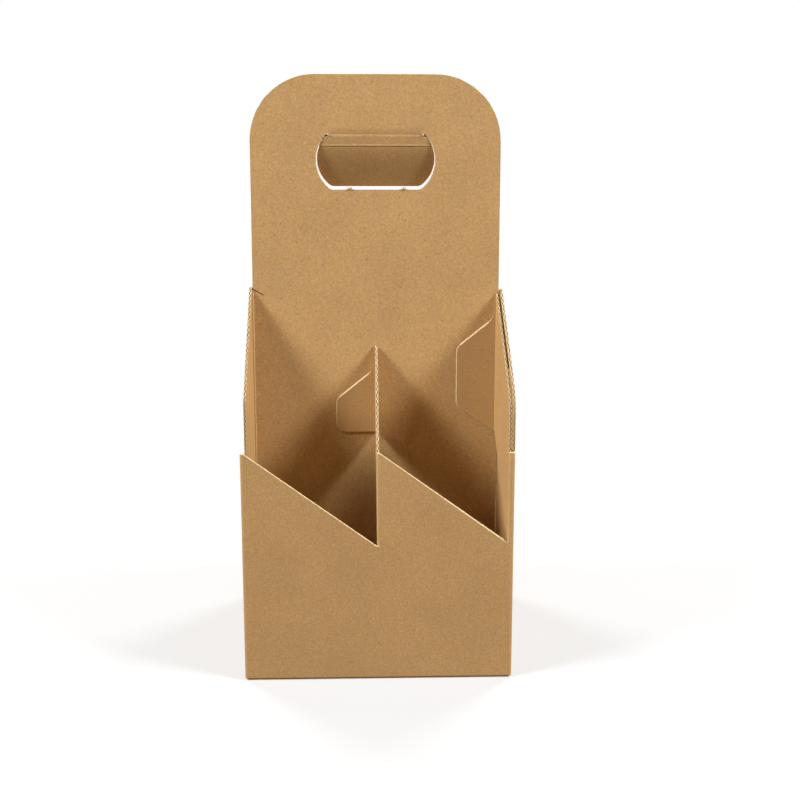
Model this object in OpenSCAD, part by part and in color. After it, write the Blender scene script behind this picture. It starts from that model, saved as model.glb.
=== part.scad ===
// Folded corrugated carrier: four cells around a central handle, made from one glued blank.
// Millimetres, +Z up, +Y to the rear. The origin is the middle of the base, on the floor.

/* [Board] */
// Thickness of the corrugated board
board_t = 1.2; // [0.9:0.1:1.8]
// Inner radius of every fold
fold_in_r = 0.3; // [0.2:0.05:0.6]

/* [Box] */
// Outer width, left to right
box_w = 130; // [112:1:170]
// Outer depth, front to rear
box_d = 130; // [112:1:170]
// Height of the high points of the front and rear panels
tooth_h = 113; // [100:1:125]
// Height of the notches between the high points
notch_h = 67.5; // [45:0.5:85]
// Level run of a panel's top edge at the left corner
corner_flat = 1.8; // [1.6:0.1:6]

/* [Side walls] */
// Height of the walls' peak beside the handle
gable_h = 186; // [178:1:200]
// Height where the right wall's slanted edge would reach the corner
shoulder_h = 138; // [130:1:150]
// Radius where that edge turns down to the corner
shoulder_r = 20; // [8:1:28]
// Radius of the right wall's peak
peak_r = 4; // [1:0.5:10]
// Height of the left wall's free front edge
left_shoulder_h = 134.5; // [126:0.5:150]
// Radius at the top of that free edge
left_shoulder_r = 4; // [1:0.5:8]
// Fall of the left wall's cut-out from the front corner to the free edge
cut_fall = 8; // [4:1:16]

/* [Straps] */
// Length of the glue tabs
tab_l = 20; // [12:1:28]
// Drop of the tabs' top edge beside the fold
tab_neck = 13; // [6:1:16]
// Drop of the tabs' top edge from fold to end
tab_drop = 28; // [24:1:34]
// Radius where a tab's top edge leaves the fold
tab_r = 8; // [2:1:10]
// Radius of a tab's free corners
tab_end_r = 5; // [1:0.5:7]
// Drop of the right strap's slanted edge below the wall's
strap_drop = 1.5; // [0.5:0.5:5]

/* [Handle] */
// Height of the whole carrier
handle_h = 292; // [265:1:330]
// Radius of the handle's top corners
handle_r = 33; // [15:1:45]
// Clearance of the handle's foot above the base flaps
handle_lift = 0.6; // [0.3:0.1:3]
// Length of the relief slit at the top of the left fold
slit_l = 6.5; // [3:0.5:12]
// Width of the relief slit
slit_w = 0.5; // [0.3:0.1:1]
// Fall of the relief slit below the peak
slit_fall = 1; // [0.5:0.1:3]
// Downward angle of the relief slit
slit_angle = 29; // [10:1:45]

/* [Hand hole] */
// Overall width of the hand hole
hole_w = 60; // [50:1:80]
// Radius of the hole's round ends
hole_end_r = 18; // [15:0.2:20]
// Height of the hole above its widest line
hole_up = 12.5; // [10:0.5:14]
// Depth of the hole below its widest line
hole_down = 14.5; // [10:0.5:14.5]
// Radius of the hole's lower corners
hole_corner_r = 4; // [2:0.5:6]
// Fall of the widest line below the handle's top
hole_fall = 42; // [34:1:60]
// Extra margin around the hole in the rear layer
rear_margin = 1.5; // [1:0.1:3]

/* [Flap] */
// Distance between the two creases
strip_w = 5; // [3.5:0.5:8]
// Length of the upper crease
crease_l = 47.5; // [36:0.5:48]
// Depth of the nicks at the ends of the upper crease
crease_nick = 0.8; // [0.8:0.1:2.5]
// Clearance between the flap and the hole's edge
flap_gap = 0.4; // [0.4:0.05:1.2]
// Clearance along a crease
hinge_gap = 0.3; // [0.2:0.05:0.5]
// Turn of the strip at rest, towards the rear
strip_angle = 11; // [0:1:40]
// Turn of the flap against the strip at rest
flap_angle = 9; // [0:1:40]

/* [Base] */
// Inward length of the side walls' base flaps
minor_l = 42; // [25:1:50]
// Slant of the side flaps' ends over their length
minor_taper = 18; // [5:1:24]
// Half the step of the interlocking seam
lock_step = 9; // [4:1:16]
// Half the width over which the seam steps
lock_run = 14; // [8:1:24]
// Clearance along the seam and beside the flaps
seam_gap = 0.5; // [0.3:0.1:1]
// Width of the chamfer at the foot of each corner
foot_chamfer = 2.4; // [1.6:0.1:4]

/* [Hidden] */
kraft = "#b08a5a";
kraft_light = "#bf9a67";
kraft_shade = "#8f6a43";
overrun = 2;
lap = 0.2;
lap_share = 0.5;
arc_steps = 10;
$fn = 96;

half_w = box_w / 2;
half_d = box_d / 2;
fold_r = fold_in_r + board_t;
layer_gap = 2 * fold_in_r;
// Straps rise towards the handle as steeply as the front panel's cuts fall
strap_slope = (tooth_h - notch_h) / half_w;
notch_x = -board_t / 2;
tooth_x = notch_x + fold_r;
strap_x = board_t / 2;
side_strap_x = half_w - board_t - layer_gap;
handle_w = 2 * side_strap_x;
strap_foot_y = -half_d + fold_r;
tab_y = -board_t;
strap_end_y = tab_y - fold_r;
floor_x = half_w - fold_r;
side_foot_z = board_t + fold_r;
side_flap_y = half_d - fold_r - seam_gap;
handle_foot_z = 2 * board_t + handle_lift;
hole_z = handle_h - hole_fall;
crease_z = hole_z + hole_up - board_t / 2 - hinge_gap;
crease_y = -board_t / 2;

// Points of a rounded corner at b, between a and c
function unit(v) = v / norm(v);
function corner_arc(a, b, c, r) =
    let (
        u = unit(a - b),
        v = unit(c - b),
        half_angle = acos(u * v) / 2,
        reach = r / tan(half_angle),
        centre = b + unit(u + v) * r / sin(half_angle),
        first = b + u * reach - centre,
        last = b + v * reach - centre
    )
    [for (i = [0 : arc_steps]) centre + r * unit(first * (arc_steps - i) + last * i)];

// Closed outline with each corner rounded by its own radius, sharp where that is zero
function rounded(points, radii) =
    let (n = len(points))
    [
        for (i = [0 : n - 1])
            each radii[i] == 0
                ? [points[i]]
                : corner_arc(points[(i + n - 1) % n], points[i], points[(i + 1) % n], radii[i])
    ];

// Height of a strap's edge at a place y, from its height at the front fold
function strap_z(foot_z, y) = foot_z + (y - strap_foot_y) * strap_slope;

// Height of the right wall's slanted edge at a place y in front of the handle
function gable_z(y) = gable_h + y * (gable_h - shoulder_h) / half_d;

// Upright plate from an outline in x and z, from y_low to y_high
module plate_xz(y_low, y_high) {
    translate([0, y_high, 0])
        rotate([90, 0, 0])
            linear_extrude(height = y_high - y_low)
                children();
}

// Upright plate from an outline in y and z, from x_low to x_high
module plate_yz(x_low, x_high) {
    translate([x_low, 0, 0])
        rotate([90, 0, 90])
            linear_extrude(height = x_high - x_low)
                children();
}

// Section of a fold about the origin: a ring of board over a quarter or a half turn
module fold_section(turn) {
    intersection() {
        difference() {
            circle(r = fold_r);
            circle(r = fold_in_r);
        }
        if (turn > 90)
            translate([-fold_r, -fold_r])
                square([2 * fold_r, fold_r]);
        else
            translate([-fold_r, -fold_r])
                square(fold_r);
    }
}

// Section of the cores that lap over both ends of a fold, inside the board
module lap_section(turn) {
    core_t = board_t / 3;
    translate([-fold_r + core_t, -lap])
        square([core_t, 2 * lap]);
    if (turn > 90)
        translate([fold_in_r + core_t, -lap])
            square([core_t, 2 * lap]);
    else
        translate([-lap, -fold_r + core_t])
            square([2 * lap, core_t]);
}

// Fold along z, whose cores keep it and its two panels one sheet
module fold(length, turn = 90) {
    linear_extrude(height = length)
        fold_section(turn);
    translate([0, 0, length * (1 - lap_share) / 2])
        linear_extrude(height = length * lap_share)
            lap_section(turn);
}

// Upright fold whose outer corner points to -X and -Y, turned by spin about its centre
module upright_fold(x, y, spin, z_low, z_high, turn = 90) {
    translate([x, y, z_low])
        rotate([0, 0, spin])
            fold(z_high - z_low, turn);
}

// Front panel with its two slanted cuts
module front_panel() {
    plate_xz(-half_d, -half_d + board_t)
        polygon([
            [-floor_x, fold_r],
            [floor_x, fold_r],
            [floor_x, notch_h],
            [tooth_x, tooth_h],
            [tooth_x, notch_h],
            [notch_x, notch_h],
            [-half_w + corner_flat, tooth_h],
            [-floor_x, tooth_h]
        ]);
    upright_fold(tooth_x, strap_foot_y, 0, notch_h, tooth_h);
    intersection() {
        union() {
            upright_fold(-floor_x, strap_foot_y, 0, 0, tooth_h);
            upright_fold(floor_x, strap_foot_y, 90, 0, notch_h);
        }
        plate_xz(-half_d, strap_foot_y + lap)
            polygon([
                [-half_w, board_t],
                [-half_w + foot_chamfer, 0],
                [half_w - foot_chamfer, 0],
                [half_w, board_t],
                [half_w, tooth_h],
                [-half_w, tooth_h]
            ]);
    }
}

// Front half of the right wall, with the slanted edge up to the peak
module right_wall() {
    plate_yz(half_w - board_t, half_w)
        intersection() {
            polygon(rounded(
                [
                    [strap_foot_y, side_foot_z],
                    [half_d, side_foot_z],
                    [half_d, shoulder_h],
                    [0, gable_h],
                    [strap_foot_y, gable_z(strap_foot_y)]
                ],
                [0, 0, 0, peak_r, shoulder_r]
            ));
            translate([-half_d, 0])
                square([half_d + overrun, gable_h]);
        }
    rotate([90, 0, 0])
        translate([floor_x, side_foot_z, -overrun])
            rotate([0, 0, 90])
                fold(side_flap_y + overrun);
}

// Front half of the left wall, cut out at the front for a strap's tab, and its fold into the handle
module left_wall() {
    cut_y = strap_foot_y + tab_l;
    plate_yz(-half_w, -half_w + board_t)
        polygon(rounded(
            [
                [strap_foot_y, side_foot_z],
                [-fold_r, side_foot_z],
                [-fold_r, gable_h],
                [cut_y, left_shoulder_h],
                [cut_y, tooth_h - cut_fall],
                [strap_foot_y, tooth_h]
            ],
            [0, 0, 0, left_shoulder_r, 0, 0]
        ));
    difference() {
        upright_fold(-floor_x, -fold_r, -90, handle_foot_z, gable_h);
        plate_xz(-fold_r - overrun, overrun)
            slit_outline();
    }
    rotate([90, 0, 0])
        translate([-floor_x, side_foot_z, fold_r])
            fold(side_flap_y - fold_r);
}

// Glue tab on the handle's face, from the fold at x, between two heights at the fold
module glue_tab(x, z_low, z_high, low_slope) {
    fold_x = x - fold_r;
    end_x = fold_x - tab_l;
    upright_fold(fold_x, strap_end_y, 180, z_low, z_high);
    plate_xz(tab_y - board_t, tab_y)
        polygon(rounded(
            [
                [fold_x, z_low],
                [fold_x, z_high],
                [fold_x - board_t, z_high - tab_neck],
                [end_x, z_high - tab_drop],
                [end_x, z_low + tab_l * low_slope]
            ],
            [0, 0, tab_r, tab_end_r, tab_end_r]
        ));
}

// Strap between the two front cells, folded back from the front panel
module middle_strap() {
    plate_yz(strap_x - board_t, strap_x)
        polygon([
            [strap_foot_y, notch_h],
            [strap_end_y, strap_z(notch_h, strap_end_y)],
            [strap_end_y, strap_z(tooth_h, strap_end_y)],
            [strap_foot_y, tooth_h]
        ]);
    glue_tab(strap_x, strap_z(notch_h, strap_end_y), strap_z(tooth_h, strap_end_y), 0);
}

// Strap that lies inside the right wall, folded back on itself at the corner
module side_strap() {
    peak_z = gable_z(strap_end_y) - strap_drop;
    plate_yz(side_strap_x - board_t, side_strap_x)
        polygon(rounded(
            [
                [strap_foot_y, notch_h],
                [strap_end_y, strap_z(notch_h, strap_end_y)],
                [strap_end_y, peak_z],
                [strap_foot_y, gable_z(strap_foot_y) - strap_drop]
            ],
            [0, 0, 0, shoulder_r]
        ));
    upright_fold(floor_x, strap_foot_y, 0, notch_h, tooth_h, 180);
    glue_tab(side_strap_x, strap_z(notch_h, strap_end_y), peak_z, strap_slope);
}

// Lower base flap from the front panel, with its half of the interlocking seam
module major_flap() {
    seam_half = seam_gap / 2;
    linear_extrude(height = board_t)
        polygon([
            [-floor_x, strap_foot_y],
            [floor_x, strap_foot_y],
            [floor_x, -lock_step - seam_half],
            [lock_run, -lock_step - seam_half],
            [-lock_run, lock_step - seam_half],
            [-floor_x, lock_step - seam_half]
        ]);
    rotate([90, 0, 90])
        translate([strap_foot_y, fold_r, -floor_x])
            fold(2 * floor_x);
}

// Upper base flap from a side wall, on the lower ones; side is 1 for right and -1 for left
module minor_flap(side, y_low, y_high, low_taper, high_taper) {
    translate([0, 0, board_t])
        linear_extrude(height = board_t)
            polygon([
                [side * floor_x, y_low],
                [side * floor_x, y_high],
                [side * (floor_x - minor_l), y_high - high_taper],
                [side * (floor_x - minor_l), y_low + low_taper]
            ]);
}

// Outline of the hand hole, grown by a margin all round, with its lower corners rounded
module hole_outline(margin) {
    end_r = hole_end_r + margin;
    end_x = hole_w / 2 - hole_end_r;
    low = hole_down + margin;
    corner_r = hole_corner_r + margin;
    corner_x = end_x + sqrt(pow(end_r - corner_r, 2) - pow(low - corner_r, 2));
    corner = [corner_x, corner_r - low];
    first = unit(corner - [end_x, 0]);
    last = [0, -1];
    arc = [
        for (i = [0 : arc_steps])
            corner + corner_r * unit(first * (arc_steps - i) + last * i)
    ];
    // The arc's end pieces run on past the outline, so that each crosses it in one clean point
    lead = arc[0] + overrun * unit(arc[0] - arc[1]);
    tail = arc[arc_steps] + overrun * unit(arc[arc_steps] - arc[arc_steps - 1]);
    difference() {
        intersection() {
            union() {
                for (side = [-1, 1])
                    translate([side * end_x, 0])
                        circle(r = end_r);
                translate([-end_x, -end_r])
                    square([2 * end_x, 2 * end_r]);
            }
            translate([-hole_w, -low])
                square([2 * hole_w, low + hole_up + margin]);
        }
        for (flip = [0, 1])
            mirror([flip, 0, 0])
                polygon([
                    lead,
                    for (i = [1 : arc_steps - 1]) arc[i],
                    tail,
                    [tail.x, -low - overrun],
                    [hole_w, -low - overrun],
                    [hole_w, lead.y]
                ]);
    }
}

// Relief slit at the top of the left fold, from the wall's outer face into the handle
module slit_outline() {
    lead = 2 * fold_r;
    translate([-floor_x, gable_h - slit_fall])
        rotate(-slit_angle)
            translate([-lead, -slit_w / 2])
                square([lead + slit_l, slit_w]);
}

// One handle layer in x and z, without its hand hole
module handle_outline() {
    top_z = handle_h - handle_r;
    half_handle = handle_w / 2;
    difference() {
        union() {
            translate([-half_handle, handle_foot_z])
                square([handle_w, top_z - handle_foot_z]);
            translate([-floor_x, handle_foot_z])
                square([floor_x, gable_h - handle_foot_z]);
            translate([-half_handle + handle_r, top_z])
                square([handle_w - 2 * handle_r, handle_r]);
            for (side = [-1, 1])
                translate([side * (half_handle - handle_r), top_z])
                    circle(r = handle_r);
        }
        slit_outline();
    }
}

// Handle layer between two depths, with its hand hole grown by a margin
module handle_layer(y_low, y_high, margin) {
    plate_xz(y_low, y_high)
        difference() {
            handle_outline();
            translate([0, hole_z])
                hole_outline(margin);
        }
}

// Walls, straps and tabs in front of the handle; the rear half is their mirror image
module front_half() {
    front_panel();
    right_wall();
    left_wall();
    middle_strap();
    side_strap();
}

// The whole sheet, folded and glued
module carrier() {
    color(kraft) {
        for (flip = [0, 1])
            mirror([0, flip, 0])
                front_half();
        for (spin = [0, 180])
            rotate([0, 0, spin])
                major_flap();
        minor_flap(1, -side_flap_y, side_flap_y, minor_taper, minor_taper);
        for (flip = [0, 1])
            mirror([0, flip, 0])
                minor_flap(-1, -side_flap_y, -fold_r, minor_taper, 0);
        handle_layer(-board_t, 0, 0);
        handle_layer(0, board_t, rear_margin);
    }
}

// Piece of the hole's flap as cut, from z_low up to a crease, with a round top edge and nicks beside it
module flap_piece(z_low, axis_z, top_l) {
    intersection() {
        union() {
            plate_xz(-board_t, 0) {
                translate([-top_l / 2, z_low])
                    square([top_l, axis_z - z_low]);
                translate([-hole_w / 2, z_low])
                    square([hole_w, axis_z - crease_nick - z_low]);
            }
            translate([-top_l / 2, crease_y, axis_z])
                rotate([0, 90, 0])
                    cylinder(r = board_t / 2, h = top_l);
        }
        plate_xz(-board_t - overrun, overrun)
            translate([0, hole_z])
                hole_outline(-flap_gap);
    }
}

// Turns its children about a crease by an angle, towards the rear
module turn_about(z, angle) {
    translate([0, crease_y, z])
        rotate([angle, 0, 0])
            translate([0, -crease_y, -z])
                children();
}

// Narrow strip between the two creases
module flap_strip() {
    low_z = crease_z - strip_w + board_t / 2 + hinge_gap;
    color(kraft_light)
        turn_about(crease_z, strip_angle)
            flap_piece(low_z, crease_z, crease_l);
}

// Flap below the second crease
module handle_flap() {
    axis_z = crease_z - strip_w;
    color(kraft_shade)
        turn_about(crease_z, strip_angle)
            turn_about(axis_z, flap_angle)
                flap_piece(hole_z - hole_down, axis_z, hole_w);
}

carrier();
flap_strip();
handle_flap();
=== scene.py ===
"""Looks of a folded kraft carrier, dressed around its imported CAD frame.

The CAD solids give every outline. Each solid is copied once, and the copy gets what plain solids lack: open
fluted edges where the board was cut, pressed creases above the hand hole, torn nicks, and a kraft finish.
"""

import logging
import math
from dataclasses import dataclass, field
from enum import IntEnum

import bmesh
import bpy
from bmesh.types import BMEdge, BMesh, BMFace, BMVert
from bpy.types import Material, Node, NodeSocket, NodeTree, Object
from mathutils import Matrix, Vector, noise
from mathutils.bvhtree import BVHTree

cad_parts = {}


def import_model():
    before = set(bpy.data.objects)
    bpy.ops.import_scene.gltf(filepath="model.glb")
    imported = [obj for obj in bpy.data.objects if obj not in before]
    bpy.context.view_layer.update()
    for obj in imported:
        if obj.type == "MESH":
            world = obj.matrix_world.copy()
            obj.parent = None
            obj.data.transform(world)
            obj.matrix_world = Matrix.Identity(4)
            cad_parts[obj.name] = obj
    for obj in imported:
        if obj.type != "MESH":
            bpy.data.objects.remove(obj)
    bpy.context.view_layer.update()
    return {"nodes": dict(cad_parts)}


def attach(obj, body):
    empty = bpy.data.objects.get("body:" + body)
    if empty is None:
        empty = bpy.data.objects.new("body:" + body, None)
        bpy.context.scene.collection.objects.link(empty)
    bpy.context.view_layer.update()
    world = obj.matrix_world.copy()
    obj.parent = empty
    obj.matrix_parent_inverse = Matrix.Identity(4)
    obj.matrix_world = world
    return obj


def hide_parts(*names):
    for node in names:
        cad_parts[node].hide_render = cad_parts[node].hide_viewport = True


LOG = logging.getLogger("carrier")
MM = 0.001
# Places closer than this are the same
NEAR = MM / 1000
SLIGHT = MM / 100
IMAGE_PX = 800
# Fixes the noise that roughens crushed fibre
NOISE_SEED = 5
WHITE = (1.0, 1.0, 1.0, 1.0)
PAPER_IOR = 1.45
# A noise texture's values mostly lie between these
NOISE_LOW = 0.3
NOISE_HIGH = 0.7
# Colour sockets of a mix node
COLOUR_A = 6
COLOUR_B = 7
COLOUR_OUT = 2
# A unit normal's part along an axis: none of it, most of it, all of it
SQUARE = 0.01
MOSTLY = 0.9
ALONG = 0.999


def to_linear(code: str) -> tuple[float, float, float, float]:
    """Turns an sRGB hex colour into linear values.

    Args:
        code: Colour such as "#b08a5a".

    Returns:
        Linear red, green and blue, and an alpha of 1.
    """
    parts = [int(code[i:i + 2], 16) / 255 for i in (1, 3, 5)]
    red, green, blue = [c / 12.92 if c <= 0.04045 else ((c + 0.055) / 1.055) ** 2.4 for c in parts]
    return red, green, blue, 1.0


def place_mm(x: float, y: float, z: float) -> Vector:
    """A dataclass field that holds a place, given in millimetres."""
    return field(default_factory=lambda: Vector((x, y, z)) * MM)


def per_metre(size_mm: float) -> float:
    """Texture scale whose features are about size_mm across, for coordinates in metres."""
    return 1 / (size_mm * MM)


def add_node(tree: NodeTree, kind: str, settings: dict | None = None) -> Node:
    """Adds a node with its settings and its incoming links.

    Args:
        tree: Node tree that gets the node.
        kind: Blender's type name of the node.
        settings: Values by attribute name, and values, sockets or nodes by input name or number. A node
            stands for its first output.

    Returns:
        The new node.
    """
    node = tree.nodes.new(kind)
    for key, value in (settings or {}).items():
        if isinstance(value, Node):
            value = value.outputs[0]
        if isinstance(value, NodeSocket):
            tree.links.new(value, node.inputs[key])
        elif isinstance(key, str) and hasattr(node, key):
            setattr(node, key, value)
        else:
            node.inputs[key].default_value = value
    return node


def calculate(tree: NodeTree, operation: str, a: object, b: object) -> Node:
    """Adds a calculation with two values, each a number, a node or a socket."""
    return add_node(tree, "ShaderNodeMath", {"operation": operation, 0: a, 1: b})


def mix(tree: NodeTree, share: Node | NodeSocket, low: object, high: object) -> NodeSocket:
    """Mixes two colours, each a value, a node or a socket."""
    node = add_node(tree, "ShaderNodeMix", {"data_type": "RGBA", 0: share, COLOUR_A: low, COLOUR_B: high})
    return node.outputs[COLOUR_OUT]


def ramp(tree: NodeTree, value: Node | NodeSocket, start: float, stop: float, low: float | Node = 0.0,
         high: float = 1.0) -> Node:
    """Maps a value from the range of start to stop onto the range of low to high."""
    return add_node(tree, "ShaderNodeMapRange", {
        "Value": value, "From Min": start, "From Max": stop, "To Min": low, "To Max": high})


def mottle(tree: NodeTree, place: NodeSocket, size_mm: float, detail: float, rough: float = 0.5) -> Node:
    """Adds noise whose features are about size_mm across."""
    return add_node(tree, "ShaderNodeTexNoise", {
        "Vector": place, "Scale": per_metre(size_mm), "Detail": detail, "Roughness": rough})


def new_material(name: str) -> tuple[Material, NodeTree, NodeSocket]:
    """Starts a material from an empty tree.

    Args:
        name: Name of the material.

    Returns:
        The material, its tree, and the piece's own coordinates in that tree.
    """
    material = bpy.data.materials.new(name)
    material.use_nodes = True
    tree = material.node_tree
    tree.nodes.clear()
    return material, tree, add_node(tree, "ShaderNodeTexCoord").outputs["Object"]


class Layer(IntEnum):
    """Material slots of a board piece."""

    LINER = 0
    CUT = 1
    RIM = 2
    # Hollows between the flutes, which get painted shade
    CHANNEL = 3


@dataclass(frozen=True)
class KraftLiner:
    """Uncoated brown kraft liner: matt and cloudy, with fine fibres and dark and light specks."""

    name: str = "kraft_liner"
    warm: str = "#bb9560"
    cool: str = "#b69466"
    dark: str = "#8f6a42"
    light: str = "#d3b083"
    # Paler colour where the fold attribute is set: partly wear on folds and creases, partly painted
    # highlight
    wear_and_highlight: str = "#c7a272"
    # Clouds in the pulp, two to three centimetres across
    cloud_mm: float = 26.0
    cloud_swing: float = 0.05
    # Flocs of fibre of one to two millimetres, some warmer and some cooler
    tint_mm: float = 1.7
    tint_low: float = 0.38
    tint_high: float = 0.62
    # Single fibres are a few hundredths of a millimetre thick, too fine to show, so they are drawn coarser
    grain_mm: float = 0.8
    grain_swing: float = 0.2
    fibre_mm: float = 0.55
    relief: float = 0.22
    relief_h: float = 0.05 * MM
    # Specks of bark and pale pulp, some millimetres apart; their sizes are shares of that distance
    speck_mm: float = 3.6
    speck_core: float = 0.06
    speck_edge: float = 0.14
    speck_strength: float = 0.85
    light_share: float = 0.3
    bare_share: float = 0.35
    # The specks' outlines are ragged by about a millimetre
    rag_mm: float = 0.7
    rag_reach: float = 1.6
    roughness: float = 0.86
    rough_swing: float = 0.06
    specular: float = 0.25

    def build(self) -> Material:
        """Builds the material.

        Returns:
            The finished material.
        """
        material, tree, place = new_material(self.name)
        lean = ramp(tree, mottle(tree, place, self.tint_mm, detail=2), self.tint_low, self.tint_high)
        hue = mix(tree, lean, to_linear(self.warm), to_linear(self.cool))
        cloud = mottle(tree, place, self.cloud_mm, detail=3)
        grain = mottle(tree, place, self.grain_mm, detail=5, rough=0.65)
        clouds = self.vary(tree, cloud, 1.0, self.cloud_swing)
        gain = calculate(tree, "MULTIPLY", clouds, self.vary(tree, grain, 1.0, self.grain_swing))
        shaded = add_node(tree, "ShaderNodeVectorMath", {"operation": "SCALE", 0: hue, "Scale": gain})
        ragged = mottle(tree, place, self.rag_mm, detail=2).outputs["Color"]
        astray = add_node(tree, "ShaderNodeVectorMath", {
            "operation": "SCALE", 0: ragged, "Scale": self.rag_mm * MM * self.rag_reach})
        frayed = add_node(tree, "ShaderNodeVectorMath", {"operation": "ADD", 0: place, 1: astray})
        specks = add_node(tree, "ShaderNodeTexVoronoi", {
            "Vector": frayed, "Scale": per_metre(self.speck_mm), "Randomness": 1.0})
        dots = ramp(tree, specks.outputs["Distance"], self.speck_core, self.speck_edge,
                    self.speck_strength, 0.0)
        kind = add_node(tree, "ShaderNodeSeparateColor", {"Color": specks.outputs["Color"]})
        is_dark = calculate(tree, "GREATER_THAN", kind.outputs["Red"], self.light_share)
        is_there = calculate(tree, "GREATER_THAN", kind.outputs["Green"], self.bare_share)
        speck_hue = mix(tree, is_dark, to_linear(self.light), to_linear(self.dark))
        speck_amount = calculate(tree, "MULTIPLY", dots, is_there)
        specked = mix(tree, speck_amount, shaded, speck_hue)
        # Folds and creases are painted paler, broken up by the grain: partly wear, partly painted highlight
        fold = add_node(tree, "ShaderNodeAttribute", {"attribute_name": "fold"}).outputs["Fac"]
        wear_and_highlight_amount = calculate(tree, "MULTIPLY", fold, grain)
        wear_and_highlight = mix(tree, wear_and_highlight_amount, specked, to_linear(self.wear_and_highlight))
        fibre = mottle(tree, place, self.fibre_mm, detail=3, rough=0.6)
        height = calculate(tree, "ADD", fibre, grain)
        bump = add_node(tree, "ShaderNodeBump", {
            "Strength": self.relief, "Distance": self.relief_h, "Height": height})
        shader = add_node(tree, "ShaderNodeBsdfPrincipled", {
            "Base Color": wear_and_highlight, "Normal": bump, "IOR": PAPER_IOR, "Specular IOR Level": self.specular,
            "Roughness": self.vary(tree, grain, self.roughness, self.rough_swing)})
        add_node(tree, "ShaderNodeOutputMaterial", {"Surface": shader})
        return material

    def vary(self, tree: NodeTree, source: Node, centre: float, swing: float) -> Node:
        """Spreads the values of a noise texture about a centre, by a swing to both sides."""
        return ramp(tree, source, NOISE_LOW, NOISE_HIGH, centre - swing, centre + swing)


@dataclass(frozen=True)
class CutFibre:
    """Die-cut paper, whose loose fibres mottle it along the cut."""

    name: str
    pale: str
    shade: str
    # The fibres are too fine to show, so they are drawn coarser
    fibre_mm: float = 0.5
    mottle_low: float = 0.35
    mottle_high: float = 0.65
    relief: float = 0.5
    relief_h: float = 0.05 * MM
    roughness: float = 0.95
    specular: float = 0.15

    def build(self) -> Material:
        """Builds the material.

        Returns:
            The finished material.
        """
        material, tree, place = new_material(self.name)
        fibre = mottle(tree, place, self.fibre_mm, detail=3, rough=0.7)
        amount = ramp(tree, fibre, self.mottle_low, self.mottle_high)
        hue = mix(tree, amount, to_linear(self.shade), to_linear(self.pale))
        bump = add_node(tree, "ShaderNodeBump", {
            "Strength": self.relief, "Distance": self.relief_h, "Height": fibre})
        shader = add_node(tree, "ShaderNodeBsdfPrincipled", {
            "Base Color": hue, "Normal": bump, "Roughness": self.roughness, "IOR": PAPER_IOR,
            "Specular IOR Level": self.specular})
        add_node(tree, "ShaderNodeOutputMaterial", {"Surface": shader})
        return material


@dataclass(frozen=True)
class PaleFloor:
    """Matt white paper sweep, which shows white to the camera and keeps a soft shadow."""

    name: str = "white_paper_sweep"
    colour: str = "#bdbdbd"
    bounce: str = "#5a4029"
    # The paper's tooth is too fine to show, so it is drawn coarser
    tooth_mm: float = 2.0
    relief: float = 0.05
    relief_h: float = 0.1 * MM
    # Share of plain white near the box, which grows to all of it further out
    glow: float = 0.5
    near: float = 0.1
    far: float = 0.4
    # No glow under the box, where it would shine up through the joints of the base
    under_from: float = 0.052
    under_to: float = 0.058

    def build(self) -> Material:
        """Builds the material.

        Returns:
            The finished material.
        """
        material, tree, place = new_material(self.name)
        tooth = mottle(tree, place, self.tooth_mm, detail=2)
        bump = add_node(tree, "ShaderNodeBump", {
            "Strength": self.relief, "Distance": self.relief_h, "Height": tooth})
        in_view = add_node(tree, "ShaderNodeLightPath").outputs["Is Camera Ray"]
        shown = mix(tree, in_view, to_linear(self.bounce), to_linear(self.colour))
        matt = add_node(tree, "ShaderNodeBsdfDiffuse", {"Color": shown, "Normal": bump})
        white = add_node(tree, "ShaderNodeEmission", {"Color": WHITE, "Strength": 1.0})
        reach = add_node(tree, "ShaderNodeVectorMath", {"operation": "LENGTH", 0: place}).outputs["Value"]
        fade = ramp(tree, reach, self.near, self.far, self.glow)
        clear = ramp(tree, reach, self.under_from, self.under_to)
        seen = calculate(tree, "MULTIPLY", in_view, clear)
        share = calculate(tree, "MULTIPLY", seen, fade)
        mixed = add_node(tree, "ShaderNodeMixShader", {0: share, 1: matt, 2: white})
        add_node(tree, "ShaderNodeOutputMaterial", {"Surface": mixed})
        return material


@dataclass(frozen=True)
class Finishes:
    """Finished materials that the pieces share."""

    liner: Material
    cut: Material
    rim: Material
    channel: Material
    medium: Material


@dataclass
class Band:
    """Centre line of one cut edge: points along it, and the outward normal at each."""

    points: list[Vector]
    normals: list[Vector]

    def length(self) -> float:
        """Length of the centre line in metres."""
        return sum((b - a).length for a, b in zip(self.points, self.points[1:]))


def mark_sharp(bm: BMesh, angle: float) -> None:
    """Shades a mesh smooth, apart from the edges that turn by more than an angle.

    Args:
        bm: The mesh.
        angle: That angle, in radians.
    """
    bm.normal_update()
    for face in bm.faces:
        face.smooth = True
    for edge in bm.edges:
        edge.smooth = edge.calc_face_angle(math.pi) < angle


def roughen(verts: list[BMVert], amount: float, size_mm: float) -> None:
    """Moves points by smooth noise, as crushed and torn fibre is uneven.

    Args:
        verts: Points to move.
        amount: Furthest move.
        size_mm: Size of the unevenness in millimetres.
    """
    for vert in verts:
        vert.co += noise.noise_vector(vert.co * per_metre(size_mm)) * amount


def all_parts(bm: BMesh) -> list:
    """Every point, edge and face of a mesh."""
    return bm.verts[:] + bm.edges[:] + bm.faces[:]


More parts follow.
